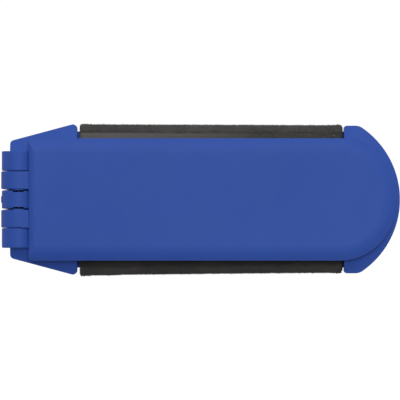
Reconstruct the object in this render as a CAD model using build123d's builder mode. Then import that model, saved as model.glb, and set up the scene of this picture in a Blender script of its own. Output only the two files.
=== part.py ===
from build123d import *

import os
from math import atan2, cos, radians, sin, sqrt

# Folding chalkboard eraser. A moulded head carries a pad of black pile cloth over foam. A hinged handle
# folds flat over the pad as its cover, and swings half a turn to become the grip. +X runs from the hinge
# to the nose, +Z is up, and the origin is under the middle of the folded eraser, on the face it rests on.

# Overall sizes, in millimetres
length = 125.0  # hinge barrels to nose tip
folded_height = 14.0  # back of the head to the top of the folded handle
wall = 1.6  # moulded walls
sliding_gap = 0.3  # between the handle's rim and what it closes on

# Hinge
handle_knuckle_radius = 5.5
head_knuckle_radius = 5.3
pin_radius = 1.0
pin_running_gap = 0.05  # radial, in the handle's knuckles
pin_end_recess = 0.4
pin_end_chamfer = 0.2
centre_knuckle_width = 5.7
handle_knuckle_width = 5.6
outer_knuckle_width = 6.2
centre_gap = 0.4  # beside the centre knuckle
outer_gap = 0.12  # beside the outer knuckles
knuckle_edge = 0.4  # rounding of the knuckles' rims
pocket_gap = 0.4  # radial, around a handle knuckle in the head
hinge_setback = 3.3  # pin to the handle's end face
end_relief_gap = 0.3  # radial, where the handle's end wall is cut out around the head's knuckles
stop_gap = 0.05  # handle's end face to the heels when fully open
heel_side_gap = 0.06  # between the heels and the handle's arms
heel_foot = 1.4  # how high the heels' feet stand
slot_floor = 1.0  # the wing's floor under the handle's knuckles
arm_lean = 12.0  # degrees past the pin where the arms leave the barrels
arm_step = 0.5  # arms' top to the lower edge of the handle's end roll
click_rib_height = 0.33
click_rib_width = 3.6
click_rib_flank = 0.35  # how far each flank leans in
click_groove_depth = 0.5
click_groove_width = 3.4
gate_mark_width = 2.0
gate_mark_height = 2.4

# Handle
handle_half_width = 19.15
handle_tip_inset = 1.2  # behind the head's nose
handle_tip_radius = 22.5
handle_shoulder_radius = 17.0
end_wall = 2.0  # at the hinge end
crown_width = 4.6  # band along the edge where the top falls away
crown_drop = 1.5
end_roll_width = 1.9  # same, at the hinge end
end_roll_drop = 0.9
handle_corner_radius = 1.3
handle_arris = 0.4
rib_thickness = 1.0
rib_height = 0.6
rib_spacing_across = 10.5
rib_spacing_along = 17.0
rib_rows = 5

# Head
deck_rise = 3.0  # from the pin up to the top of the wing and the nose, under the handle
wing_left = 2.65  # how far the wing reaches past the pin
wing_left_half_width = 18.35
wing_length = 18.35  # from the pin to the pad end
wing_right_half_width = 24.0
wing_corner_radius = 1.4
wing_slope_left = 14.2  # half width where the wing's slope starts, at its hinge end
wing_slope_right = 17.4  # and at its pad end
wing_slope_angle = 27.0
hinge_block_length = 6.8  # solid part of the wing, right of the pin
core_half_width = 21.4
nose_length = 17.45
nose_half_width = 23.15
nose_tip_radius = 27.4
nose_shoulder_radius = 4.0
nose_fall = 2.4  # nose surface's fall from the handle out to its own edge, at the pad end
nose_tip_fall = 0.6  # same, at the tip
nose_rise = 0.3  # how much higher than the wing the nose's deck is, at the pad end
nose_climb = 1.8  # same, at the tip
nose_corner_radius = 0.9
seam_height = 2.0  # between back cover and head shell
seat_height = 5.0  # panel that carries the pad
back_edge_radius = 1.2
lip_height = 1.0
lip_thickness = 1.0
lip_gap = 0.1
seam_chamfer = 0.25
cover_gap = 0.1  # between back cover and hinge block

# Pad
wing_pad_gap = 0.85
nose_pad_gap = 0.4
pad_half_width_left = 23.7
pad_half_width_right = 23.3
crease_inset = 2.6  # from the pad's widest line in to the crease
crease_drop = 0.65  # below the deck
crown_rise = 1.4  # above the deck
widest_rise = 2.6  # above the seat
under_inset = 1.4  # where the flank reaches the seat
cloth = 0.8  # pile cloth thickness
fold_width = 4.6  # cloth tucked below the carrier
carrier_thickness = 1.4
carrier_edge_gap = 0.15
tape = 0.2
tape_margin = 2.0
clip_width = 5.0
clip_thickness = 1.2
clip_reach = 0.5
clip_half_spacing = 12.0
clip_pitch = 27.0
clip_rows = 3
clip_gap = 0.25
clip_hook_height = 1.0
clip_hook_gap = 0.1
foot_width = 1.4
foot_half_spacing = 5.0

# Places that follow from the sizes
hinge_height = folded_height / 2  # so that handle and back lie flush when open
hinge_x = -length / 2 + handle_knuckle_radius
nose_tip = length / 2
deck_height = hinge_height + deck_rise
wing_right = hinge_x + wing_length
nose_left = nose_tip - nose_length
pad_left = wing_right + wing_pad_gap
pad_right = nose_left - nose_pad_gap
crease_height = deck_height - crease_drop
crown_height = deck_height + crown_rise
widest_height = seat_height + widest_rise
handle_end = hinge_x + hinge_setback
handle_tip = nose_tip - handle_tip_inset
centre_face = centre_knuckle_width / 2
handle_knuckle_near = centre_face + centre_gap
handle_knuckle_far = handle_knuckle_near + handle_knuckle_width
outer_knuckle_near = handle_knuckle_far + outer_gap
outer_knuckle_far = outer_knuckle_near + outer_knuckle_width
wing_start = hinge_x - wing_left
block_end = hinge_x + hinge_block_length
rim_height = deck_height + sliding_gap
end_relief_radius = head_knuckle_radius + end_relief_gap
carrier_bottom = seat_height + cloth
carrier_top = carrier_bottom + carrier_thickness
foam_bottom = carrier_top + tape
clip_middle = (pad_left + pad_right) / 2
hinge_frame = Plane(origin=(hinge_x, 0, hinge_height), x_dir=(1, 0, 0), z_dir=(0, -1, 0))


# Shared outlines


def rounded_nose_line(half_width, start_x, tip_x, tip_radius, shoulder_radius):
    """Open outline: straight side, shoulder arc, wide tip arc, shoulder arc, straight side."""
    across = half_width - shoulder_radius
    along = sqrt((tip_radius - shoulder_radius) ** 2 - across**2)
    reach = tip_radius / (tip_radius - shoulder_radius)
    tip_centre = tip_x - tip_radius
    shoulder_x = tip_centre + along
    meet_x = tip_centre + along * reach
    meet_y = across * reach
    turn = atan2(across, along) / 2 + radians(45)
    middle_x = shoulder_x + shoulder_radius * cos(turn)
    middle_y = across + shoulder_radius * sin(turn)
    with BuildLine() as outline:
        Line((start_x, half_width), (shoulder_x, half_width))
        ThreePointArc((shoulder_x, half_width), (middle_x, middle_y), (meet_x, meet_y))
        ThreePointArc((meet_x, meet_y), (tip_x, 0), (meet_x, -meet_y))
        ThreePointArc((meet_x, -meet_y), (middle_x, -middle_y), (shoulder_x, -half_width))
        Line((shoulder_x, -half_width), (start_x, -half_width))
    return outline.wire()


def handle_line(inset=0.0, start_x=handle_end):
    """The handle's outline, or a line that much inside it."""
    return rounded_nose_line(
        handle_half_width - inset,
        start_x,
        handle_tip - inset,
        handle_tip_radius - inset,
        handle_shoulder_radius - inset,
    )


def nose_line(inset=0.0, start_x=nose_left):
    """The nose's outline, or a line that much inside it."""
    return rounded_nose_line(
        nose_half_width - inset,
        start_x,
        nose_tip - inset,
        nose_tip_radius - inset,
        nose_shoulder_radius - inset,
    )


def closed_column(line, bottom, top):
    """A solid over the area that an open outline and its chord enclose."""
    with BuildPart() as column:
        with BuildSketch(Plane.XY.offset(bottom)):
            with BuildLine():
                add(line)
                Line(line @ 1, line @ 0)
            make_face()
        extrude(amount=top - bottom)
    return column.part


def nose_column(inset, bottom, top):
    """A solid over the head's nose, with its corners at the pad end rounded."""
    with BuildPart() as column:
        add(closed_column(nose_line(inset, nose_left + inset), bottom, top))
        fillet(column.edges().filter_by(Axis.Z).group_by(Axis.X)[0], nose_corner_radius)
    return column.part


def wing_column(inset, bottom, top):
    """A solid over the head's hinge end: a trapezium that widens to the pad."""
    with BuildPart() as column:
        with BuildSketch(Plane.XY.offset(bottom)) as face:
            with BuildLine():
                Polyline(
                    (wing_start, -wing_left_half_width),
                    (wing_right, -wing_right_half_width),
                    (wing_right, wing_right_half_width),
                    (wing_start, wing_left_half_width),
                    close=True,
                )
            make_face()
            fillet(face.vertices(), wing_corner_radius)
            if inset > 0:
                offset(amount=-inset, mode=Mode.REPLACE)
        extrude(amount=top - bottom)
    return column.part


def wing_slope(side, lift):
    """Plane of the wing's sloping top on one side, 1 or -1, raised by lift. Its normal points up."""
    start = Vector(wing_start, side * wing_slope_left, deck_height + lift)
    end = Vector(wing_right, side * wing_slope_right, deck_height + lift)
    run = (end - start).normalized()
    outward = Vector(-run.Y, run.X, 0) * side
    fall = radians(wing_slope_angle)
    normal = outward * sin(fall) + Vector(0, 0, cos(fall))
    return Plane(origin=start, x_dir=run, z_dir=normal)


def wing_block(inset, bottom, lift):
    """The wing as a block under its two slopes."""
    with BuildPart() as block:
        add(wing_column(inset, bottom, deck_height + lift))
        split(bisect_by=wing_slope(1, lift), keep=Keep.BOTTOM)
        split(bisect_by=wing_slope(-1, lift), keep=Keep.BOTTOM)
    return block.part


def climbing_plane(start_height, end_height):
    """Plane that climbs along X from the nose's pad end to its tip."""
    run = nose_tip - nose_left
    rise = end_height - start_height
    return Plane(origin=(nose_left, 0, start_height), x_dir=(run, 0, rise), z_dir=(-rise, 0, run))


def nose_block(inset, bottom, lift):
    """The nose: its top is level under the handle's outline and falls away outside it."""
    deck = climbing_plane(deck_height + nose_rise + lift, deck_height + nose_climb + lift)
    edge = climbing_plane(
        deck_height + nose_rise - nose_fall + lift,
        deck_height + nose_climb - nose_tip_fall + lift,
    )
    pad_end = Plane.YZ.offset(nose_left + inset)
    with BuildPart() as lower:
        add(closed_column(nose_line(inset, 0), bottom, folded_height))
        split(bisect_by=edge, keep=Keep.BOTTOM)
        split(bisect_by=pad_end)
    with BuildPart() as upper:
        add(closed_column(handle_line(inset - sliding_gap, 0), bottom, folded_height))
        split(bisect_by=deck, keep=Keep.BOTTOM)
        split(bisect_by=pad_end)
    with BuildPart() as block:
        add(lower.part)
        loft(sections=[lower.faces().sort_by(Axis.Z)[-1], upper.faces().sort_by(Axis.Z)[-1]], ruled=True)
        add(nose_column(inset, bottom, folded_height), mode=Mode.INTERSECT)
    return block.part


def barrel(near, far, radius):
    """A cylinder around the pin between two distances along it."""
    with BuildPart() as cylinder:
        with BuildSketch(hinge_frame.offset(near)):
            Circle(radius)
        extrude(amount=far - near)
    return cylinder.part


def knuckle(near, far, radius):
    """A hinge barrel with rounded rims."""
    with BuildPart() as rounded:
        add(barrel(near, far, radius))
        fillet(rounded.edges().filter_by(GeomType.CIRCLE), knuckle_edge)
    return rounded.part


def across_pin(points, near, far):
    """A block with a straight-sided section square to the pin, given from the pin's centre."""
    with BuildPart() as block:
        with BuildSketch(hinge_frame.offset(near)):
            with BuildLine():
                Polyline(*points, close=True)
            make_face()
        extrude(amount=far - near)
    return block.part


def slab(half_width, left, right, bottom, top):
    """A block that straddles the middle line."""
    with BuildPart() as block:
        with BuildSketch(Plane.XY.offset(bottom)):
            with Locations(((left + right) / 2, 0)):
                Rectangle(right - left, 2 * half_width)
        extrude(amount=top - bottom)
    return block.part


def heel_cheek(near, far):
    """A heel's wider part, which fills the gap beside its knuckle outside the handle knuckles' reach."""
    with BuildPart() as cheek:
        add(across_pin(heel_section, near, far))
        add(barrel(near, far, handle_knuckle_radius + pocket_gap), mode=Mode.SUBTRACT)
    return cheek.part


def click_rib(side):
    """Rib across a handle knuckle's inner face, 1 or -1, that drops into the centre knuckle's groove."""
    root = side * handle_knuckle_near
    tip = root - side * click_rib_height
    reach = click_rib_width / 2
    with BuildPart() as rib:
        with BuildSketch(Plane.XY.offset(hinge_height - handle_knuckle_radius)):
            with BuildLine():
                Polyline(
                    (hinge_x - reach, root),
                    (hinge_x - reach + click_rib_flank, tip),
                    (hinge_x + reach - click_rib_flank, tip),
                    (hinge_x + reach, root),
                    close=True,
                )
            make_face()
        extrude(amount=2 * handle_knuckle_radius)
        add(barrel(-length, length, handle_knuckle_radius - knuckle_edge), mode=Mode.INTERSECT)
    return rib.part


def click_groove(side):
    """Groove across one face of the centre knuckle, 1 or -1, as a solid to cut away."""
    face = side * centre_face
    with BuildPart() as groove:
        with BuildSketch(Plane.XY.offset(hinge_height - head_knuckle_radius)):
            with Locations((hinge_x, face)):
                Rectangle(click_groove_width, 2 * click_groove_depth)
        extrude(amount=2 * head_knuckle_radius)
    return groove.part


def pad_section(x, half_width, inset):
    """Section of the pad at one end, or of what lies that much inside its cloth."""
    crease_y = half_width - crease_inset - inset / 2
    crease_z = crease_height - inset
    widest_y = half_width - inset
    under_y = half_width - under_inset
    under_z = seat_height + inset
    shoulder = (widest_y - crease_y) * 0.65
    with BuildSketch(Plane(origin=(x, 0, 0), x_dir=(0, 1, 0), z_dir=(1, 0, 0))) as section:
        with BuildLine():
            ThreePointArc((-crease_y, crease_z), (0, crown_height - inset), (crease_y, crease_z))
            Spline(
                (crease_y, crease_z),
                (crease_y + shoulder, (crease_z + widest_height) / 2),
                (widest_y, widest_height),
            )
            Line((widest_y, widest_height), (under_y, under_z))
            Line((under_y, under_z), (-under_y, under_z))
            Line((-under_y, under_z), (-widest_y, widest_height))
            Spline(
                (-widest_y, widest_height),
                (-crease_y - shoulder, (crease_z + widest_height) / 2),
                (-crease_y, crease_z),
            )
        make_face()
    return section.sketch


def pad_column(inset):
    """The pad from end to end, or what lies that much inside its cloth."""
    with BuildPart() as column:
        add(pad_section(pad_left, pad_half_width_left, inset))
        add(pad_section(pad_right, pad_half_width_right, inset))
        loft(ruled=True)
    return column.part


def tapered_slab(margin, bottom, top):
    """A plate that narrows with the pad, that much inside the carrier's edge."""
    left_half = pad_half_width_left - under_inset - carrier_edge_gap - margin
    right_half = pad_half_width_right - under_inset - carrier_edge_gap - margin
    with BuildPart() as plate:
        with BuildSketch(Plane.XY.offset(bottom)):
            with BuildLine():
                Polyline(
                    (pad_left + margin, -left_half),
                    (pad_right - margin, -right_half),
                    (pad_right - margin, right_half),
                    (pad_left + margin, left_half),
                    close=True,
                )
            make_face()
        extrude(amount=top - bottom)
    return plate.part


# Sections square to the pin
lean_x = handle_knuckle_radius * sin(radians(arm_lean))
lean_z = handle_knuckle_radius * cos(radians(arm_lean))
arm_top = folded_height - end_roll_drop - arm_step - hinge_height
rim_rise = rim_height - hinge_height
arm_section = [
    (0, rim_rise),
    (lean_x, lean_z),
    (hinge_setback, arm_top),
    (hinge_setback + end_wall, arm_top),
    (hinge_setback + end_wall, rim_rise),
    (hinge_setback, rim_rise),
]
stop_reach = hinge_setback - stop_gap
heel_section = [
    (0, 0),
    (-stop_reach, -head_knuckle_radius / 2),
    (-stop_reach, heel_foot - hinge_height),
    (0, heel_foot - hinge_height),
]
slot_edge = -lean_x + pocket_gap
slot_bottom = slot_floor - hinge_height
slot_section = [
    (-folded_height, slot_bottom),
    (slot_edge, slot_bottom),
    (slot_edge, folded_height),
    (-folded_height, folded_height),
]
head_knuckles = [
    (-outer_knuckle_far, -outer_knuckle_near),
    (-centre_face, centre_face),
    (outer_knuckle_near, outer_knuckle_far),
]
handle_knuckles = [
    (-handle_knuckle_far, -handle_knuckle_near),
    (handle_knuckle_near, handle_knuckle_far),
]
centre_cheek = handle_knuckle_near - heel_side_gap
outer_cheek = handle_knuckle_far + heel_side_gap
heel_cheeks = [
    (-outer_knuckle_near, -outer_cheek),
    (-centre_cheek, -centre_face),
    (centre_face, centre_cheek),
    (outer_cheek, outer_knuckle_near),
]
clip_places = [clip_middle + (row - (clip_rows - 1) / 2) * clip_pitch for row in range(clip_rows)]

os.makedirs("parts", exist_ok=True)

# Handle: a shallow tray, face down over the pad when folded. Two of the five knuckles are its own.
with BuildPart() as handle_shell:
    add(closed_column(handle_line(), rim_height, folded_height))
    crown_start = handle_end - wall
    with BuildSketch(
        Plane(origin=(crown_start, handle_half_width, 0), x_dir=(0, 1, 0), z_dir=(1, 0, 0))
    ):
        with BuildLine():
            crown = TangentArc(
                (-crown_width, folded_height), (0, folded_height - crown_drop), tangent=(1, 0)
            )
            Polyline(
                crown @ 1,
                (wall, folded_height - crown_drop),
                (wall, folded_height + wall),
                (-crown_width, folded_height + wall),
                crown @ 0,
            )
        make_face()
    sweep(path=handle_line(start_x=crown_start), mode=Mode.SUBTRACT)
    with BuildSketch(Plane.XZ.offset(-handle_half_width)):
        with BuildLine():
            roll = TangentArc(
                (handle_end + end_roll_width, folded_height),
                (handle_end, folded_height - end_roll_drop),
                tangent=(-1, 0),
            )
            Polyline(
                roll @ 1,
                (handle_end - wall, folded_height - end_roll_drop),
                (handle_end - wall, folded_height + wall),
                (handle_end + end_roll_width, folded_height + wall),
                roll @ 0,
            )
        make_face()
    extrude(amount=2 * handle_half_width, mode=Mode.SUBTRACT)
    fillet(handle_shell.edges().filter_by(Axis.Z).group_by(Axis.X)[0], handle_corner_radius)
    crown_foot = folded_height - crown_drop
    fillet(
        handle_shell.edges().filter_by_position(Axis.Z, crown_foot - 0.01, crown_foot + 0.01),
        handle_arris,
    )
    cavity_start = handle_end + end_wall
    add(closed_column(handle_line(wall, cavity_start), 0, folded_height - wall), mode=Mode.SUBTRACT)
    with BuildPart(mode=Mode.PRIVATE) as nose_clearance:
        add(slab(handle_half_width, nose_left - sliding_gap, nose_tip, 0, folded_height))
        split(
            bisect_by=climbing_plane(rim_height + nose_rise, rim_height + nose_climb),
            keep=Keep.BOTTOM,
        )
    add(nose_clearance.part, mode=Mode.SUBTRACT)
    with BuildSketch(Plane.XY.offset(folded_height - wall - rib_height)):
        with GridLocations(rib_spacing_along, 0, rib_rows, 1):
            Rectangle(rib_thickness, 2 * handle_half_width - wall)
        with GridLocations(0, rib_spacing_across, 1, 3):
            Rectangle((rib_rows - 1) * rib_spacing_along + rib_thickness, rib_thickness)
    extrude(amount=rib_height)
    end_relief = barrel(-outer_knuckle_far - outer_gap, outer_knuckle_far + outer_gap, end_relief_radius)
    add(end_relief, mode=Mode.SUBTRACT)
    for near, far in handle_knuckles:
        add(knuckle(near, far, handle_knuckle_radius))
        add(across_pin(arm_section, near, far))
    for side in (1, -1):
        add(click_rib(side))
    for near, far in handle_knuckles:
        bore = barrel(near - centre_gap, far + centre_gap, pin_radius + pin_running_gap)
        add(bore, mode=Mode.SUBTRACT)
handle_shell.part.label = "handle_shell"
export_step(handle_shell.part, "parts/handle_shell.step")

# Pin: one steel rod through all five knuckles, held by the head's three.
with BuildPart() as hinge_pin:
    add(barrel(-outer_knuckle_far + pin_end_recess, outer_knuckle_far - pin_end_recess, pin_radius))
    chamfer(hinge_pin.edges().filter_by(GeomType.CIRCLE), pin_end_chamfer)
hinge_pin.part.label = "hinge_pin"
export_step(hinge_pin.part, "parts/hinge_pin.step")

# Hinge block: the solid end of the wing, down to the face that the eraser rests on.
with BuildPart() as hinge_block:
    add(wing_block(0, 0, 0))
    split(bisect_by=Plane.YZ.offset(block_end), keep=Keep.BOTTOM)
    foot_edges = hinge_block.edges().group_by(Axis.Z)[0].sort_by(Axis.X)[:-1]
    fillet(foot_edges, back_edge_radius)

# Head shell: hinge block and wing at one end, nose at the other, and the panel that seats the pad.
with BuildPart() as head_shell:
    add(wing_block(0, seam_height, 0))
    add(slab(core_half_width, wing_right - wall, nose_left + wall, seam_height, seat_height))
    add(nose_block(0, seam_height, 0))
    chamfer(head_shell.edges().group_by(Axis.Z)[0], seam_chamfer)
    with BuildPart(mode=Mode.PRIVATE) as wing_hollow:
        add(wing_block(wall, seam_height, -wall))
        split(bisect_by=Plane.YZ.offset(block_end + wall))
    add(wing_hollow.part, mode=Mode.SUBTRACT)
    add(nose_block(wall, seam_height, -wall), mode=Mode.SUBTRACT)
    seat_hollow = slab(
        core_half_width - wall,
        wing_right - 2 * wall,
        nose_left + 2 * wall,
        seam_height,
        seat_height - wall,
    )
    add(seat_hollow, mode=Mode.SUBTRACT)
    add(hinge_block.part)
    for side in (1, -1):
        slot_near = centre_face if side > 0 else -outer_knuckle_near
        slot_far = outer_knuckle_near if side > 0 else -centre_face
        add(barrel(slot_near, slot_far, handle_knuckle_radius + pocket_gap), mode=Mode.SUBTRACT)
        add(across_pin(slot_section, slot_near, slot_far), mode=Mode.SUBTRACT)
    for near, far in head_knuckles:
        add(knuckle(near, far, head_knuckle_radius))
        add(across_pin(heel_section, near, far))
    for near, far in heel_cheeks:
        add(heel_cheek(near, far))
    for side in (1, -1):
        add(click_groove(side), mode=Mode.SUBTRACT)
    gate_left = hinge_x - handle_knuckle_radius
    gate_right = hinge_x - head_knuckle_radius + pin_radius
    gate_foot = hinge_height - gate_mark_height / 2
    add(slab(gate_mark_width / 2, gate_left, gate_right, gate_foot, gate_foot + gate_mark_height))
    add(barrel(-outer_knuckle_far, outer_knuckle_far, pin_radius), mode=Mode.SUBTRACT)
    for x in clip_places:
        with BuildSketch(Plane.XY.offset(seam_height)):
            with Locations((x, clip_half_spacing), (x, -clip_half_spacing)):
                Rectangle(clip_width + 2 * clip_gap, clip_thickness + 2 * clip_gap)
        extrude(amount=seat_height - seam_height, mode=Mode.SUBTRACT)
head_shell.part.label = "head_shell"
export_step(head_shell.part, "parts/head_shell.step")


def cover_layer(inset, bottom, top):
    """The back cover's outline as a solid layer, or a layer that much inside it."""
    with BuildPart() as layer:
        add(wing_column(inset, bottom, top))
        split(bisect_by=Plane.YZ.offset(block_end + cover_gap + inset))
        core_left = wing_right - wall - inset
        core_right = nose_left + wall + inset
        add(slab(core_half_width - inset, core_left, core_right, bottom, top))
        add(nose_column(inset, bottom, top))
    return layer.part


# Back cover: closes the head from behind, with a lip that stands inside the head's walls.
with BuildPart() as back_cover:
    add(cover_layer(0, 0, seam_height))
    cover_edges = back_cover.edges().group_by(Axis.Z)[0].sort_by(Axis.X)[1:]
    fillet(cover_edges, back_edge_radius)
    chamfer(back_cover.edges().group_by(Axis.Z)[-1], seam_chamfer)
    add(cover_layer(wall, wall, seam_height), mode=Mode.SUBTRACT)
    add(cover_layer(wall + lip_gap, wall / 2, seam_height + lip_height))
    lip_inset = wall + lip_gap + lip_thickness
    add(cover_layer(lip_inset, wall, seam_height + lip_height), mode=Mode.SUBTRACT)
back_cover.part.label = "back_cover"
export_step(back_cover.part, "parts/back_cover.step")

# Carrier: the plate behind the pad. It stands on two feet and clips into the head's panel.
with BuildPart() as pad_carrier:
    add(tapered_slab(0, carrier_bottom, carrier_top))
    with BuildSketch(Plane.XY.offset(seat_height)):
        with Locations((clip_middle, foot_half_spacing), (clip_middle, -foot_half_spacing)):
            Rectangle(pad_right - pad_left - 2 * fold_width, foot_width)
    extrude(amount=cloth)
    hook_top = seat_height - wall - clip_hook_gap
    hook_foot = hook_top - clip_hook_height
    for x in clip_places:
        for side in (1, -1):
            inner = side * (clip_half_spacing - clip_thickness / 2)
            outer = side * (clip_half_spacing + clip_thickness / 2)
            barb = outer + side * clip_reach
            clip_plane = Plane(origin=(x - clip_width / 2, 0, 0), x_dir=(0, 1, 0), z_dir=(1, 0, 0))
            with BuildSketch(clip_plane):
                with BuildLine():
                    Polyline(
                        (inner, carrier_bottom),
                        (inner, hook_foot),
                        (outer, hook_foot),
                        (barb, hook_top - clip_reach / 2),
                        (barb, hook_top),
                        (outer, hook_top),
                        (outer, carrier_bottom),
                        close=True,
                    )
                make_face()
            extrude(amount=clip_width)
pad_carrier.part.label = "pad_carrier"
export_step(pad_carrier.part, "parts/pad_carrier.step")

# Tape: a thin sticky sheet between carrier and foam.
with BuildPart() as foam_tape:
    add(tapered_slab(tape_margin, carrier_top, foam_bottom))
foam_tape.part.label = "foam_tape"
export_step(foam_tape.part, "parts/foam_tape.step")

# Foam: the cushion under the cloth.
with BuildPart() as foam_cushion:
    add(pad_column(cloth))
    split(bisect_by=Plane.XY.offset(foam_bottom))
foam_cushion.part.label = "foam_cushion"
export_step(foam_cushion.part, "parts/foam_cushion.step")

# Pile cover: cloth over the foam, down the flanks, and tucked between carrier and panel.
with BuildPart() as pile_cover:
    add(pad_column(0))
    add(pad_column(cloth), mode=Mode.SUBTRACT)
    with BuildSketch(Plane.XY.offset(seat_height)):
        with BuildLine():
            fold_left = pad_half_width_left - under_inset - fold_width
            fold_right = pad_half_width_right - under_inset - fold_width
            Polyline(
                (pad_left, -fold_left),
                (pad_right, -fold_right),
                (pad_right, fold_right),
                (pad_left, fold_left),
                close=True,
            )
        make_face()
    extrude(amount=cloth, mode=Mode.SUBTRACT)
pile_cover.part.label = "pile_cover"
export_step(pile_cover.part, "parts/pile_cover.step")
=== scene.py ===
"""The folding chalkboard eraser's looks: plastic, steel pin, pile pad, light and camera."""

import math

import bmesh
import bpy
from mathutils import Matrix, Vector


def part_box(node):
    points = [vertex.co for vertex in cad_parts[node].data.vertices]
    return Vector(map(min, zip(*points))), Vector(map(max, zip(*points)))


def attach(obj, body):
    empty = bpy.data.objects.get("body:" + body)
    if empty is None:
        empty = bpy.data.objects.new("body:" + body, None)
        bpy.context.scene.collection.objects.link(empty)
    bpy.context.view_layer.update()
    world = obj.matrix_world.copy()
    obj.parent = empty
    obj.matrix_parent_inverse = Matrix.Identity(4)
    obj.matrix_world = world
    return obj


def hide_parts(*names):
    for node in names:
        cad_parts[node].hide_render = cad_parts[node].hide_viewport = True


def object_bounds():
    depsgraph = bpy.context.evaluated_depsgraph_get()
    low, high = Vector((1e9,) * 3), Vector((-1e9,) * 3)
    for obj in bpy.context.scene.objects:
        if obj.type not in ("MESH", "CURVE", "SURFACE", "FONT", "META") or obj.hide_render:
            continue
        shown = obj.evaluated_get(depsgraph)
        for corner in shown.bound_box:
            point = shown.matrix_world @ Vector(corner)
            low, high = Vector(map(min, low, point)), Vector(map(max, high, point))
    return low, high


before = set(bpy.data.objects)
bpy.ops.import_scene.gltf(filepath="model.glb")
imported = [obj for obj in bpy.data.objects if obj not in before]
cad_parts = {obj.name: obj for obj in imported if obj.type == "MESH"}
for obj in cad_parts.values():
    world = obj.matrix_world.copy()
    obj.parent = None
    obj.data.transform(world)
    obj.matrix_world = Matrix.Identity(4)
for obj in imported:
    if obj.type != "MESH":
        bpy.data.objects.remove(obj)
cad_bounds = [list(corner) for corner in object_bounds()]
MM = 0.001


# ---------------------------------------------------------------- shader tools


class Number:
    """A node's output as a number. Arithmetic on it adds Math nodes to its finish."""

    def __init__(self, finish, socket):
        self.finish = finish
        self.socket = socket

    def _math(self, operation, *operands):
        inputs = dict(enumerate(operands))
        return self.finish.number("ShaderNodeMath", {"operation": operation}, inputs)

    def __add__(self, other):
        return self._math("ADD", self, other)

    def __radd__(self, other):
        return self._math("ADD", other, self)

    def __sub__(self, other):
        return self._math("SUBTRACT", self, other)

    def __rsub__(self, other):
        return self._math("SUBTRACT", other, self)

    def __mul__(self, other):
        return self._math("MULTIPLY", self, other)

    def __rmul__(self, other):
        return self._math("MULTIPLY", other, self)

    def __truediv__(self, other):
        return self._math("DIVIDE", self, other)

    def __pow__(self, other):
        return self._math("POWER", self, other)

    def above(self, level, width):
        """0 under level, 1 over level + width, and smooth between."""
        ramp = self.finish.make(
            "ShaderNodeMapRange",
            {"interpolation_type": "SMOOTHSTEP"},
            {"Value": self, "From Min": level, "From Max": level + width},
        )
        return Number(self.finish, ramp.outputs["Result"])

    def size(self):
        """The number without its sign."""
        return self._math("ABSOLUTE", self)

    def fraction(self):
        """What is left of the number past its whole part."""
        return self._math("FRACT", self)

    def most(self, other):
        """The larger of the two numbers."""
        return self._math("MAXIMUM", self, other)


class Finish:
    """One material: a Principled shader and the nodes that feed it."""

    def __init__(self, name, **sockets):
        self.material = bpy.data.materials.new(name)
        self.material.use_nodes = True
        self.tree = self.material.node_tree
        self.shader = self.tree.nodes["Principled BSDF"]
        for socket, value in sockets.items():
            self.shader.inputs[socket.replace("_", " ")].default_value = value
        self.place = self.make("ShaderNodeTexCoord").outputs["Object"]
        split = self.make("ShaderNodeSeparateXYZ", {}, {"Vector": self.place})
        self.x, self.y, self.z = (Number(self, split.outputs[axis]) for axis in "XYZ")

    def make(self, kind, settings=None, inputs=None):
        """Adds a node, applies its settings, then sets or links its sockets."""
        node = self.tree.nodes.new(kind)
        for name, value in (settings or {}).items():
            setattr(node, name, value)
        for name, value in (inputs or {}).items():
            self.plug(value, node.inputs[name])
        return node

    def plug(self, value, socket):
        """Links a number or a socket to a socket, or sets the socket to a plain value."""
        if isinstance(value, Number):
            value = value.socket
        if isinstance(value, bpy.types.NodeSocket):
            self.tree.links.new(value, socket)
        else:
            socket.default_value = value

    def number(self, kind, settings=None, inputs=None):
        return Number(self, self.make(kind, settings, inputs).outputs[0])

    def feed(self, **sockets):
        """Feeds the shader's sockets, with _ for a space in their names."""
        for socket, value in sockets.items():
            self.plug(value, self.shader.inputs[socket.replace("_", " ")])

    def stretched(self, scale):
        """Object coordinates scaled differently along X, Y and Z."""
        sockets = {"Vector": self.place, "Scale": scale}
        return self.make("ShaderNodeMapping", {}, sockets).outputs[0]

    def noise(self, scale, detail=2.0, rough=0.5, place=None, distort=0.0):
        sockets = {
            "Vector": place or self.place,
            "Scale": scale,
            "Detail": detail,
            "Roughness": rough,
            "Distortion": distort,
        }
        return self.number("ShaderNodeTexNoise", {}, sockets)

    def cells(self, scale):
        """Distance from the nearest of many scattered points."""
        return self.number("ShaderNodeTexVoronoi", {}, {"Vector": self.place, "Scale": scale})

    def blend(self, amount, first, second):
        """A colour between two others. A Mix node takes its colours on sockets 6 and 7."""
        sockets = {0: amount, 6: first, 7: second}
        return self.make("ShaderNodeMix", {"data_type": "RGBA"}, sockets).outputs[2]

    def bump(self, height, depth, normal=None):
        """A normal tilted by a height between 0 and 1, which stands for that depth."""
        sockets = {"Height": height, "Distance": depth, "Strength": 1.0}
        if normal is not None:
            sockets["Normal"] = normal
        return self.make("ShaderNodeBump", {}, sockets).outputs[0]

    def eased_edges(self, radius):
        """A normal that rounds the edges off by that radius."""
        return self.make("ShaderNodeBevel", {"samples": 6}, {"Radius": radius}).outputs[0]

    def edge_mask(self, eased):
        """0 on faces, rising to 1 where the eased normal leaves the true one."""
        true = self.make("ShaderNodeNewGeometry").outputs["Normal"]
        normals = {0: eased, 1: true}
        dot = self.make("ShaderNodeVectorMath", {"operation": "DOT_PRODUCT"}, normals)
        return (1 - Number(self, dot.outputs["Value"])).above(0.02, 0.25)


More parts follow.
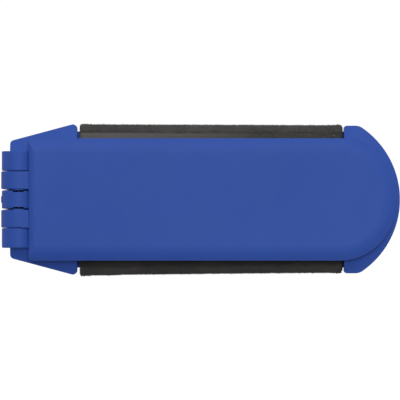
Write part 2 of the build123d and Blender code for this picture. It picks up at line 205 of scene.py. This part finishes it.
def shade(red, green, blue):
    """An sRGB colour from 0 to 255 as the linear colour that sockets take."""
    linear = [
        channel / 255 / 12.92 if channel < 10.4 else ((channel / 255 + 0.055) / 1.055) ** 2.4
        for channel in (red, green, blue)
    ]
    return (*linear, 1.0)


# ---------------------------------------------------------------- sizes and colours

pad_low, pad_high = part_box("pile_cover")
pad_half = pad_high[1]

# The pad sits a little askew on its carrier and narrows towards the nose.
PAD_WIDENING = 0.19 * MM  # each side, at the hinge end
PAD_NARROWING = 0.6 * MM  # each side, from there to the nose end
PAD_OFFSET = 0.1 * MM  # its middle's shift to -Y at the hinge end
PAD_SIDEWAYS = 0.3 * MM  # its middle's drift to +Y from there to the nose end
CREASE_LINE = pad_half - 2.6 * MM

BLUE_DEEP = shade(48, 79, 161)
BLUE_LIGHT = shade(52, 83, 166)
BLUE_GREY = shade(56, 86, 163)
BLUE_WORN = shade(76, 106, 184)
BLUE_GLOSS = 0.12
GRAIN_DEPTH = 0.012 * MM
EDGE_RADIUS = 0.3 * MM

HANDLE_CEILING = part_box("handle_shell")[1][2] - 1.59 * MM
EJECTOR_RADIUS = 2.5 * MM
EJECTOR_HALF_SPACING = 12.5 * MM
EJECTOR_PITCH = 34 * MM
EJECTOR_START = -60 * MM
EJECTOR_DEPTH = 0.05 * MM

STEEL_DARK = (0.012, 0.012, 0.014, 1)
STEEL_LIGHT = (0.03, 0.03, 0.033, 1)
STEEL_BARE = (0.06, 0.055, 0.05, 1)
CARRIER_DARK = (0.012, 0.012, 0.013, 1)
CARRIER_LIGHT = (0.03, 0.03, 0.032, 1)
CARRIER_WORN = (0.09, 0.09, 0.09, 1)
TAPE_DARK = (0.62, 0.57, 0.45, 1)
TAPE_LIGHT = (0.74, 0.71, 0.6, 1)

PILE_DARK = shade(48, 47, 46)
PILE_LIGHT = shade(76, 75, 73)
PILE_BRUSHED = shade(86, 84, 82)
PILE_RUBBED = shade(98, 96, 95)
PILE_SHADED = shade(12, 11, 12)
PILE_SHEEN = (0.8, 0.78, 0.75, 1)
CHALK = shade(205, 203, 196)
WAVER_REACH = 16 * MM
RUBBED_FROM = 2 * MM  # Y where the rubbed nap starts
RUBBED_BLUR = 13 * MM
PAINTED_SHADE_FULL_TO = -15 * MM  # Y up to where the painted shade on the -Y side is full
PAINTED_SHADE_BLUR = 27 * MM


def pad_share(x):
    """How far along the pad x is: 0 at its hinge end, 1 at its nose end."""
    return (x - pad_low[0]) / (pad_high[0] - pad_low[0])


def pad_centre(share):
    """Y of the pad's middle line there."""
    return share * PAD_SIDEWAYS - PAD_OFFSET


def crease_distance(share):
    """How far from the pad's middle line the crease runs there."""
    return CREASE_LINE + PAD_WIDENING - share * PAD_NARROWING


# ---------------------------------------------------------------- finishes


def ejector_rings(plastic):
    """1 on the rings that ejector pins leave inside the handle, in two rows, 0 elsewhere."""
    across = ((plastic.y.size() - EJECTOR_HALF_SPACING) / EJECTOR_RADIUS) ** 2
    step = ((plastic.x - EJECTOR_START) / EJECTOR_PITCH).fraction() - 0.5
    lengthways = (step * (EJECTOR_PITCH / EJECTOR_RADIUS)) ** 2
    radius = (across + lengthways) ** 0.5
    inside = 1 - plastic.z.above(HANDLE_CEILING, 0.01 * MM)
    return radius.above(0.92, 0.06) * (1 - radius.above(1.02, 0.06)) * inside


def moulded_blue(name, ejector_marks=False):
    """Satin blue moulding: spark-eroded grain, slow tone drift, scratches, eased edges."""
    plastic = Finish(name, IOR=1.46, Specular_IOR_Level=BLUE_GLOSS)
    drift = plastic.noise(26, 3)
    mottle = plastic.noise(420, 4, 0.6)
    tone = plastic.blend(drift.above(0.3, 0.4), BLUE_DEEP, BLUE_LIGHT)
    tone = plastic.blend(mottle.above(0.35, 0.5) * 0.25, tone, BLUE_GREY)
    eased = plastic.eased_edges(EDGE_RADIUS)
    edges = plastic.edge_mask(eased)
    wear = 0.12 + 0.25 * plastic.noise(900, 3).above(0.45, 0.2)
    tone = plastic.blend(edges * wear, tone, BLUE_WORN)
    along = plastic.noise(9, 5, 0.7, plastic.stretched((3, 260, 60)), 0.3)
    slanted = plastic.noise(11, 4, 0.7, plastic.stretched((190, 17, 60)), 0.6)
    scratches = along.above(0.735, 0.02).most(slanted.above(0.75, 0.02))
    grain = plastic.noise(2600, 2, 0.6)
    fine = plastic.noise(7000, 1)
    height = grain * 0.7 + fine * 0.3 - scratches * 0.35
    normal = plastic.bump(height, GRAIN_DEPTH, eased)
    if ejector_marks:
        rings = ejector_rings(plastic)
        normal = plastic.bump(1 - rings, EJECTOR_DEPTH, normal)
    rough = 0.46 + 0.08 * plastic.noise(60, 4).above(0.3, 0.4) + 0.05 * mottle - 0.08 * edges
    plastic.feed(Base_Color=tone, Roughness=rough + scratches * 0.05, Normal=normal)
    return plastic.material


def drawn_steel():
    """Blackened wire for the pin: drawing lines along it, and spots where the black is thin."""
    steel = Finish("blackened_steel", Metallic=1.0, IOR=2.5)
    lines = steel.noise(40, 6, 0.7, steel.stretched((90, 2, 90)))
    spots = steel.noise(800, 3)
    tone = steel.blend(lines, STEEL_DARK, STEEL_LIGHT)
    tone = steel.blend(spots.above(0.62, 0.1) * 0.3, tone, STEEL_BARE)
    normal = steel.bump(lines, 0.01 * MM)
    steel.feed(Base_Color=tone, Roughness=0.25 + lines * 0.25, Normal=normal)
    return steel.material


def carrier_black():
    """Black moulding with a coarse as-moulded face and flow lines."""
    plastic = Finish("carrier_black", IOR=1.46)
    flow = plastic.noise(30, 4, 0.5, plastic.stretched((4, 30, 30)), 1.0)
    grain = plastic.noise(1800, 3)
    eased = plastic.eased_edges(0.2 * MM)
    tone = plastic.blend(flow.above(0.4, 0.3), CARRIER_DARK, CARRIER_LIGHT)
    tone = plastic.blend(plastic.edge_mask(eased) * 0.3, tone, CARRIER_WORN)
    normal = plastic.bump(grain, 0.02 * MM, eased)
    plastic.feed(Base_Color=tone, Roughness=0.5 + grain * 0.15, Normal=normal)
    return plastic.material


def sticky_film():
    """Pale double-sided tape with a wrinkle here and there."""
    film = Finish("sticky_film", IOR=1.48)
    wrinkle = film.noise(70, 4, 0.6, film.stretched((1, 3, 1)), 0.8)
    cloud = film.noise(300, 3)
    tone = film.blend(cloud.above(0.35, 0.3), TAPE_DARK, TAPE_LIGHT)
    normal = film.bump(wrinkle.above(0.45, 0.1), 0.05 * MM)
    film.feed(Base_Color=tone, Roughness=0.35 + wrinkle * 0.2, Normal=normal)
    return film.material


def pile_black(name):
    """Black pile cloth: nap along the pad, a rubbed patch, painted shade on its -Y side and
    along the crease, chalk dust.
    """
    pile = Finish(name, IOR=1.4, Specular_IOR_Level=0.12)
    pile.shader.inputs["Sheen Weight"].default_value = 0.12
    pile.shader.inputs["Sheen Roughness"].default_value = 0.5
    pile.shader.inputs["Sheen Tint"].default_value = PILE_SHEEN
    nap = pile.noise(60, 5, 0.7, pile.stretched((5, 70, 70)), 0.4)
    speckle = pile.noise(3200, 4, 0.7)
    patches = pile.noise(70, 4, 0.6, None, 0.6)
    tone = pile.blend(speckle.above(0.3, 0.4), PILE_DARK, PILE_LIGHT)
    tone = pile.blend(patches.above(0.42, 0.25) * 0.5, tone, PILE_BRUSHED)
    tone = pile.blend(nap.above(0.5, 0.2) * 0.35, tone, PILE_DARK)
    share = pad_share(pile.x)
    from_crease = (pile.y - pad_centre(share)).size() - crease_distance(share)
    beyond_crease = from_crease.above(-0.5 * MM, 0.5 * MM)
    waver = pile.noise(45, 4, 0.6, pile.stretched((0.5, 1, 1)), 0.5) - 0.5
    wavering_y = pile.y + waver * WAVER_REACH
    near_hinge = 1 - share.above(0.1, 0.75)
    rubbed = wavering_y.above(RUBBED_FROM, RUBBED_BLUR) * near_hinge * (1 - beyond_crease)
    tone = pile.blend(rubbed * 0.85, tone, PILE_RUBBED)
    tone = pile.blend(beyond_crease * 0.14, tone, PILE_RUBBED)
    # painted shade: the -Y side of the pad darker, standing for the handle's shadow, weaker
    # beyond the crease
    painted_minus_y_shade = 1 - wavering_y.above(PAINTED_SHADE_FULL_TO, PAINTED_SHADE_BLUR)
    tone = pile.blend(painted_minus_y_shade * (0.5 - 0.2 * beyond_crease), tone, PILE_SHADED)
    # painted shade along the crease line, uneven along its length
    uneven_shade = pile.noise(190, 4, 0.6, pile.stretched((1, 2.5, 2.5)), 0.3).above(0.4, 0.25)
    crease = (1 - from_crease.size().above(0.1 * MM, 0.5 * MM)) * (0.15 + 0.55 * uneven_shade)
    tone = pile.blend(crease, tone, PILE_DARK)
    dust = pile.cells(420)
    grains = (1 - dust.above(0.03, 0.02)) * pile.noise(90, 3).above(0.55, 0.05)
    tone = pile.blend(grains, tone, CHALK)
    rough = 0.8 + speckle * 0.2
    normal = pile.bump(speckle * 0.6 + nap * 0.4, 0.08 * MM)
    pile.feed(Base_Color=tone, Roughness=rough, Normal=normal)
    return pile.material


node_finishes = {
    "handle_shell": moulded_blue("handle_blue", ejector_marks=True),
    "head_shell": moulded_blue("head_blue"),
    "back_cover": moulded_blue("cover_blue"),
    "hinge_pin": drawn_steel(),
    "pad_carrier": carrier_black(),
    "foam_tape": sticky_film(),
}
for node, finish in node_finishes.items():
    for material_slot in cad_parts[node].material_slots:
        material_slot.material = finish


# ---------------------------------------------------------------- pile pad

FLANK_REACH = 0.15 * MM  # of the pad's flank, past the plain solid that it stands for
FACE_INSET = 0.15 * MM  # of its top and bottom, inside that solid
END_INSET = 0.1 * MM
UNDER_INSET = 1.5 * MM
FLANK_FOOT = 1.7 * MM
FLANK_TOP = 2.7 * MM
SHOULDER_INSET = 0.75 * MM
SHOULDER_RISE = 3.5 * MM
CREASE_FALL = 2.05 * MM  # from the crown
CROWN_HALF_WIDTH = 14.0 * MM
CROWN_FALL = 0.9 * MM
RIM_RADIUS = 0.2 * MM

SIM_SCALE = 20.0
SIM_FRAMES = 14
GRID_SIZE = 0.8 * MM
PUFF_LIMIT = 0.25 * MM
PUFF_AT_ENDS = 0.1  # share of the limit that the pad's two ends keep
END_LENGTH = 4.0 * MM

CREASE_DEPTH = 0.35 * MM
CREASE_HALF_WIDTH = 0.55 * MM
CREASE_WANDER = 0.10 * MM
CREASE_ZONE = 3.3 * MM  # over the pad's underside; the crease is pressed in above it
SWELL = 0.06 * MM

TUFTS_PER_MM2 = 10.0
TUFT_RADIUS = 0.08 * MM
TUFT_TIP_RADIUS = 0.02 * MM
TUFT_LENGTH = 0.28 * MM
TUFT_LEAN = 0.7
TUFT_SHORTEST = 0.6
TUFT_LONGEST = 1.25
TUFTLESS_BELOW = -0.35  # Z of a face's normal, under which it has no tufts


def object_from(bm, name):
    """A new object, at the origin, with the bmesh as its mesh."""
    mesh = bpy.data.meshes.new(name)
    bm.to_mesh(mesh)
    bm.free()
    piece = bpy.data.objects.new(name, mesh)
    bpy.context.collection.objects.link(piece)
    return piece


def applied(piece):
    """The piece's modifiers made part of its mesh."""
    graph = bpy.context.evaluated_depsgraph_get()
    mesh = bpy.data.meshes.new_from_object(piece.evaluated_get(graph), depsgraph=graph)
    piece.modifiers.clear()
    old = piece.data
    piece.data = mesh
    bpy.data.meshes.remove(old)
    return piece


def pad_form():
    """The pad's closed form: its section drawn once, run from end to end, with soft ends."""
    bm = bmesh.new()
    crown = pad_high[2] - FACE_INSET
    side = [
        (pad_half - UNDER_INSET, pad_low[2] + FACE_INSET),
        (pad_half + FLANK_REACH, pad_low[2] + FLANK_FOOT),
        (pad_half + FLANK_REACH, pad_low[2] + FLANK_TOP),
        (pad_half - SHOULDER_INSET, pad_low[2] + SHOULDER_RISE),
        (CREASE_LINE, crown - CREASE_FALL),
        (CROWN_HALF_WIDTH, crown - CROWN_FALL),
        (0.0, crown),
    ]
    section = side + [(-y, z) for y, z in reversed(side[:-1])]
    ring = [bm.verts.new((pad_low[0] + END_INSET, y, z)) for y, z in section]
    near = bm.faces.new(ring)
    run = bmesh.ops.extrude_face_region(bm, geom=[near])
    far = [v for v in run["geom"] if isinstance(v, bmesh.types.BMVert)]
    bmesh.ops.translate(bm, verts=far, vec=(pad_high[0] - pad_low[0] - 2 * END_INSET, 0, 0))
    for end, share in ((ring, 0.0), (far, 1.0)):
        wider = (PAD_WIDENING - share * PAD_NARROWING) / pad_half
        bmesh.ops.scale(bm, verts=end, vec=(1, 1 + wider, 1))
        bmesh.ops.translate(bm, verts=end, vec=(0, pad_centre(share), 0))
    rims = [edge for edge in bm.edges if abs(edge.verts[0].co.x - edge.verts[1].co.x) < 1e-6]
    bmesh.ops.bevel(
        bm,
        geom=rims,
        offset=RIM_RADIUS,
        offset_type="OFFSET",
        affect="EDGES",
        segments=3,
        profile=0.5,
        material=-1,
    )
    bmesh.ops.recalc_face_normals(bm, faces=bm.faces)
    return object_from(bm, "pile_pad")


def puffed(piece):
    """The pad swollen a little by a short pressure simulation, scaled up for it, and capped."""
    piece.data.transform(Matrix.Scale(SIM_SCALE, 4))
    remesh = piece.modifiers.new("even_grid", "REMESH")
    remesh.mode = "VOXEL"
    remesh.voxel_size = GRID_SIZE * SIM_SCALE
    applied(piece)
    rest = [v.co.copy() for v in piece.data.vertices]
    cloth = piece.modifiers.new("pressure", "CLOTH")
    cloth.settings.use_pressure = True
    cloth.settings.uniform_pressure_force = 4.0
    cloth.settings.effector_weights.gravity = 0.0
    cloth.settings.quality = 5
    cloth.settings.mass = 0.3
    cloth.point_cache.frame_start = 1
    cloth.point_cache.frame_end = SIM_FRAMES
    for step in range(1, SIM_FRAMES + 1):
        bpy.context.scene.frame_set(step)
    applied(piece)
    bpy.context.scene.frame_set(1)
    for vertex, start in zip(piece.data.vertices, rest):
        moved = vertex.co - start
        end_distance = min(start.x - pad_low[0] * SIM_SCALE, pad_high[0] * SIM_SCALE - start.x)
        freedom = min(1.0, max(PUFF_AT_ENDS, end_distance / (END_LENGTH * SIM_SCALE)))
        cap = PUFF_LIMIT * SIM_SCALE * freedom
        if moved.length > cap:
            vertex.co = start + moved * (cap / moved.length)
    piece.data.transform(Matrix.Scale(1 / SIM_SCALE, 4))
    return piece


def pressed_crease(piece):
    """The line where the cloth turns down over the foam's edge, a little uneven."""
    for vertex in piece.data.vertices:
        x, y, z = vertex.co
        share = pad_share(x)
        line = crease_distance(share) + CREASE_WANDER * math.sin(x * 310) * math.sin(x * 97)
        away = (abs(y - pad_centre(share)) - line) / CREASE_HALF_WIDTH
        if z > pad_low[2] + CREASE_ZONE:
            depth = CREASE_DEPTH * (0.8 + 0.35 * math.sin(x * 173 + y * 40))
            vertex.co.z -= depth * math.exp(-away * away)
        vertex.co.z += SWELL * math.sin(x * 420 + 1.3) * math.sin(x * 133 + y * 90)
    return piece


def tufted(piece):
    """Short fibres over the cloth, leaning at random, as open three-sided cones."""
    group = bpy.data.node_groups.new("pile_tufts", "GeometryNodeTree")
    group.interface.new_socket("Geometry", in_out="INPUT", socket_type="NodeSocketGeometry")
    group.interface.new_socket("Geometry", in_out="OUTPUT", socket_type="NodeSocketGeometry")

    def node(kind, **settings):
        """A node added to the group, with its settings."""
        made = group.nodes.new(kind)
        for name, value in settings.items():
            setattr(made, name, value)
        return made

    ground = node("NodeGroupInput").outputs[0]
    scatter = node("GeometryNodeDistributePointsOnFaces")
    scatter.inputs["Density"].default_value = TUFTS_PER_MM2 / MM**2
    scatter.inputs["Seed"].default_value = 7
    facing = node("ShaderNodeSeparateXYZ")
    outside = node("FunctionNodeCompare", operation="GREATER_THAN")
    outside.inputs["B"].default_value = TUFTLESS_BELOW
    tuft = node("GeometryNodeMeshCone", fill_type="NONE")
    for name, value in {
        "Vertices": 3,
        "Radius Top": TUFT_TIP_RADIUS,
        "Radius Bottom": TUFT_RADIUS,
        "Depth": TUFT_LENGTH,
    }.items():
        tuft.inputs[name].default_value = value
    lean = node("FunctionNodeRandomValue", data_type="FLOAT_VECTOR")
    lean.inputs["Min"].default_value = (-TUFT_LEAN, -TUFT_LEAN, 0.0)
    lean.inputs["Max"].default_value = (TUFT_LEAN, TUFT_LEAN, 6.28)
    lean.inputs["Seed"].default_value = 3
    turned = node("FunctionNodeRotateRotation", rotation_space="LOCAL")
    height = node("FunctionNodeRandomValue", data_type="FLOAT")
    height.inputs[2].default_value = TUFT_SHORTEST
    height.inputs[3].default_value = TUFT_LONGEST
    height.inputs["Seed"].default_value = 5
    planted = node("GeometryNodeInstanceOnPoints")
    loose = node("GeometryNodeRealizeInstances")
    both = node("GeometryNodeJoinGeometry")
    for source, target in (
        (ground, scatter.inputs["Mesh"]),
        (node("GeometryNodeInputNormal").outputs[0], facing.inputs[0]),
        (facing.outputs["Z"], outside.inputs["A"]),
        (outside.outputs[0], scatter.inputs["Selection"]),
        (scatter.outputs["Points"], planted.inputs["Points"]),
        (tuft.outputs["Mesh"], planted.inputs["Instance"]),
        (scatter.outputs["Rotation"], turned.inputs["Rotation"]),
        (lean.outputs[0], turned.inputs["Rotate By"]),
        (turned.outputs[0], planted.inputs["Rotation"]),
        (height.outputs[1], planted.inputs["Scale"]),
        (planted.outputs[0], loose.inputs[0]),
        (loose.outputs[0], both.inputs[0]),
        (ground, both.inputs[0]),
        (both.outputs[0], node("NodeGroupOutput").inputs[0]),
    ):
        group.links.new(source, target)
    piece.modifiers.new("tufts", "NODES").node_group = group
    return applied(piece)


pile_pad = pressed_crease(puffed(pad_form()))
smooth = pile_pad.modifiers.new("smooth", "SUBSURF")
smooth.levels = smooth.render_levels = 1
applied(pile_pad)
tufted(pile_pad)
for polygon in pile_pad.data.polygons:
    polygon.use_smooth = True
pile_pad.data.materials.clear()
pile_pad.data.materials.append(pile_black("pile_cloth"))


# ---------------------------------------------------------------- stage, light, camera

FLOOR_HALF_SIZE = 1.5
FLOOR_FALL = 0.3 * MM
FLOOR_GLOW = 1.02
HINGE_SHADE_GLOW = 0.05
HINGE_SHADE_END = cad_bounds[0][0] + 1.1 * MM
HINGE_SHADE_START = cad_bounds[0][0] + 27.5 * MM
HINGE_SHADE_HALF_WIDTH = 14.5 * MM
HINGE_SHADE_BLUR = 2 * MM
ROOM_GLOW = 0.206
CAMERA_HEIGHT = 1.8
VIEW_WIDTH = 125.312 * MM  # what the camera takes in
VIEW_LEVEL = 10 * MM  # at this height
VIEW_CENTRE = (-0.11 * MM, -0.16 * MM)
SENSOR_WIDTH = 36.0


def plain_floor():
    """A white table that glows evenly, with a painted dark patch under the hinge."""
    bm = bmesh.new()
    bmesh.ops.create_grid(bm, x_segments=1, y_segments=1, size=FLOOR_HALF_SIZE)
    bmesh.ops.translate(bm, verts=bm.verts, vec=(0, 0, -FLOOR_FALL))
    floor = object_from(bm, "white_table")
    paper = Finish("white_table")
    middle = HINGE_SHADE_BLUR / 2
    from_end = paper.x.above(HINGE_SHADE_END - middle, HINGE_SHADE_BLUR)
    from_start = 1 - paper.x.above(HINGE_SHADE_START, HINGE_SHADE_BLUR)
    from_side = 1 - paper.y.size().above(HINGE_SHADE_HALF_WIDTH - middle, HINGE_SHADE_BLUR)
    lit = paper.make("ShaderNodeEmission", {}, {"Strength": FLOOR_GLOW})
    dim = paper.make("ShaderNodeEmission", {}, {"Strength": HINGE_SHADE_GLOW})
    patch = from_end * from_start * from_side
    sockets = {0: patch, 1: lit.outputs[0], 2: dim.outputs[0]}
    glow = paper.make("ShaderNodeMixShader", {}, sockets)
    paper.plug(glow.outputs[0], paper.tree.nodes["Material Output"].inputs["Surface"])
    floor.data.materials.append(paper.material)
    return floor


plain_floor()

world = bpy.data.worlds.new("soft_room")
world.use_nodes = True
world.node_tree.nodes["Background"].inputs["Color"].default_value = (1, 1, 1, 1)
world.node_tree.nodes["Background"].inputs["Strength"].default_value = ROOM_GLOW
bpy.context.scene.world = world


def softbox(name, place, size, power):
    """A rectangular lamp, size in metres and power in watts, that faces the origin."""
    lamp = bpy.data.lights.new(name, "AREA")
    lamp.shape = "RECTANGLE"
    lamp.size, lamp.size_y = size
    lamp.energy = power
    light = bpy.data.objects.new(name, lamp)
    light.location = place
    light.rotation_euler = Vector(place).to_track_quat("Z", "Y").to_euler()
    bpy.context.collection.objects.link(light)


softbox("window_softbox", (0.0, 0.55, 0.68), (0.5, 0.4), 2.7)
softbox("ceiling_softbox", (0.0, 0.4, 2.2), (1.0, 1.0), 23.1)

camera_data = bpy.data.cameras.new("overhead_camera")
camera_data.sensor_width = SENSOR_WIDTH
camera_data.lens = SENSOR_WIDTH * (CAMERA_HEIGHT - VIEW_LEVEL) / VIEW_WIDTH
camera_data.clip_end = 10
camera = bpy.data.objects.new("overhead_camera", camera_data)
camera.location = (*VIEW_CENTRE, CAMERA_HEIGHT)
bpy.context.collection.objects.link(camera)
bpy.context.scene.camera = camera
bpy.context.scene.view_settings.view_transform = "Standard"

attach(pile_pad, "head")
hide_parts("pile_cover", "foam_cushion")
